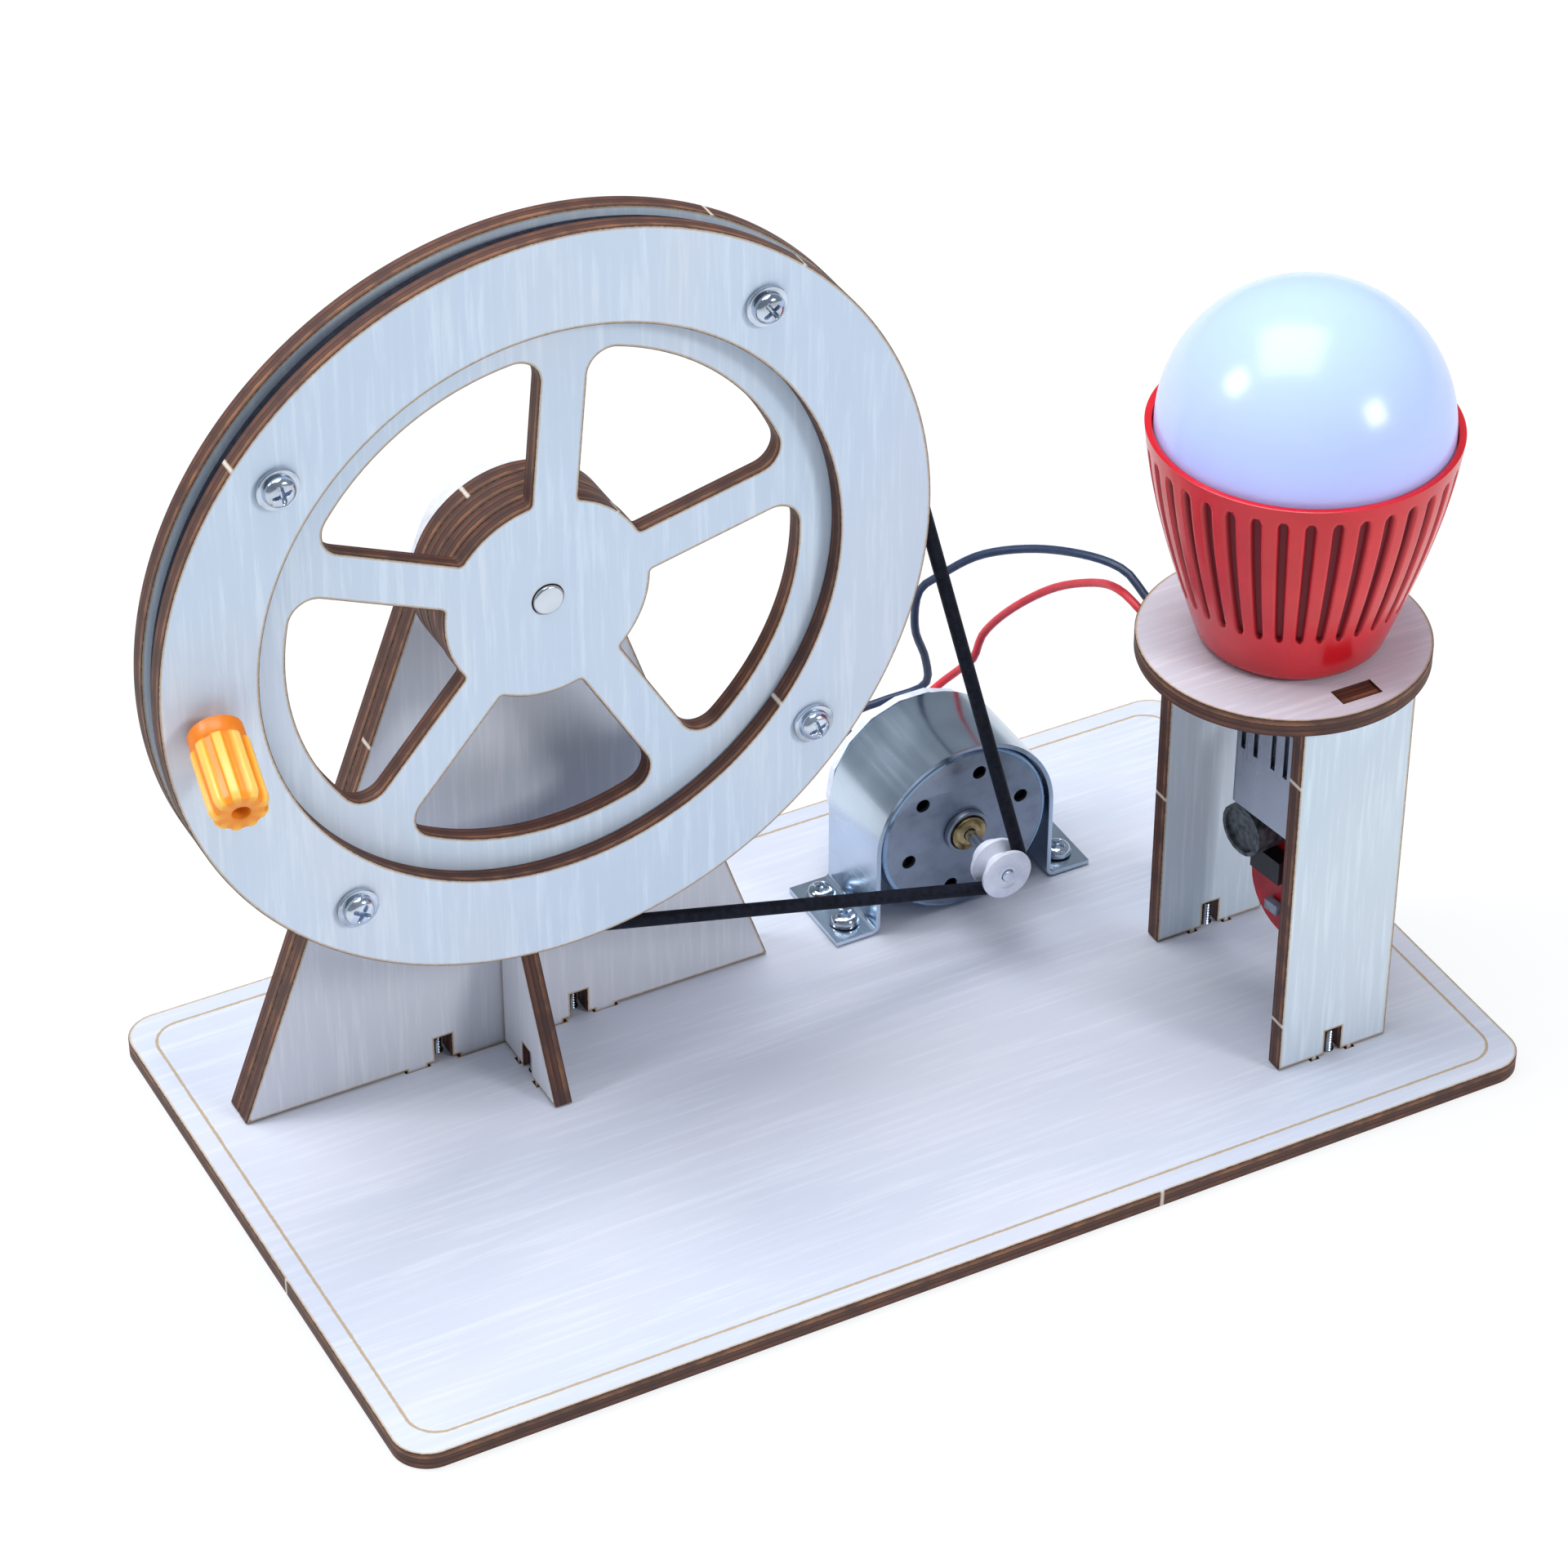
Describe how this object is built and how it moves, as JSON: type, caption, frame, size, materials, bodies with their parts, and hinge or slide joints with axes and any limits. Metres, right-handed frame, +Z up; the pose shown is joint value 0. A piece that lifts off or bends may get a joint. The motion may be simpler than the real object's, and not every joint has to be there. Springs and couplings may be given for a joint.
{
  "type": "hand crank generator",
  "caption": "Plywood flywheel with crank knob, belt drive to a small motor used as a generator, and a ribbed lamp on its own stand, all on one base plate.",
  "frame": {"origin": "centre of the base plate's underside", "axes": "+X to the right along the base's long side, towards the lamp; +Y to the back; +Z up; the crank knob is at the front"},
  "size_m": [0.2058, 0.115, 0.1622],
  "materials": {
    "plywood": "laser-cut birch plywood, pale faces, burnt edges",
    "steel": "zinc plated, half bright",
    "bright_steel": "bright",
    "dark_steel": "dark, dull",
    "brass": "plain",
    "copper": "copper segments",
    "magnet": "dark ferrite",
    "orange_plastic": "satin",
    "white_plastic": "satin",
    "black_plastic": "satin",
    "black_rubber": "dull",
    "red_plastic": "half gloss",
    "milk_plastic": "milky, translucent",
    "red_board": "solder mask",
    "grey_part": "dull",
    "blue_lead": "soft sleeve",
    "red_lead": "soft sleeve"
  },
  "bodies": {
    "frame": {"base_plate": "plywood", "support_plate_front": "plywood", "support_plate_rear": "plywood", "rib_gusset": "plywood", "front_leg": "plywood", "rear_leg": "plywood", "lamp_disc": "plywood", "foot_screw_1": "bright_steel", "foot_screw_2": "bright_steel", "foot_screw_3": "bright_steel", "foot_screw_4": "bright_steel", "foot_screw_5": "bright_steel", "bracket_screw_1": "bright_steel", "bracket_screw_2": "bright_steel", "bracket_screw_3": "bright_steel", "bracket_screw_4": "bright_steel", "motor_bracket": "bright_steel", "lamp_plug": "bright_steel", "motor_can": "steel", "socket_shell": "steel", "motor_front_bearing": "brass", "motor_terminal_1": "brass", "motor_terminal_2": "brass", "motor_end_cap": "white_plastic", "light_board": "white_plastic", "magnet_left": "magnet", "magnet_right": "magnet", "brush_1": "dark_steel", "brush_2": "dark_steel", "converter_coil": "dark_steel", "drive_belt": "black_rubber", "lamp_cup": "red_plastic", "lamp_dome": "milk_plastic", "socket_insert": "black_plastic", "converter_chip": "black_plastic", "converter_board": "red_board", "converter_part_1": "grey_part", "converter_part_2": "grey_part", "lead_dark": "blue_lead", "lead_red": "red_lead"},
    "flywheel": {"front_ring": "plywood", "spoke_wheel": "plywood", "rear_ring": "plywood", "spacer_disc_1": "plywood", "spacer_disc_2": "plywood", "spacer_disc_3": "plywood", "axle_bush": "white_plastic", "axle": "bright_steel", "rear_collar": "steel", "ring_screw_1": "bright_steel", "ring_screw_2": "bright_steel", "ring_screw_3": "bright_steel", "ring_screw_4": "bright_steel", "crank_screw": "steel"},
    "rotor": {"motor_shaft": "bright_steel", "armature": "dark_steel", "commutator": "copper", "drive_pulley": "white_plastic"},
    "knob": {"crank_knob": "orange_plastic"}
  },
  "joints": [
    {"name": "flywheel_spin", "type": "hinge", "parent": "frame", "child": "flywheel", "pos_m": [-0.042, 0.0109, 0.0984], "axis": [0, 1, 0], "continuous": true},
    {"name": "motor_spin", "type": "hinge", "parent": "frame", "child": "rotor", "pos_m": [0.0382, 0.0207, 0.0191], "axis": [0, 1, 0], "continuous": true},
    {"name": "knob_spin", "type": "hinge", "parent": "flywheel", "child": "knob", "pos_m": [-0.09787, 0.0061, 0.09664], "axis": [-0.1431, -0.946, -0.291], "continuous": true}
  ],
  "couplings": [
    {"joint": "motor_spin", "follows": "flywheel_spin", "ratio": 16.276}
  ]
}
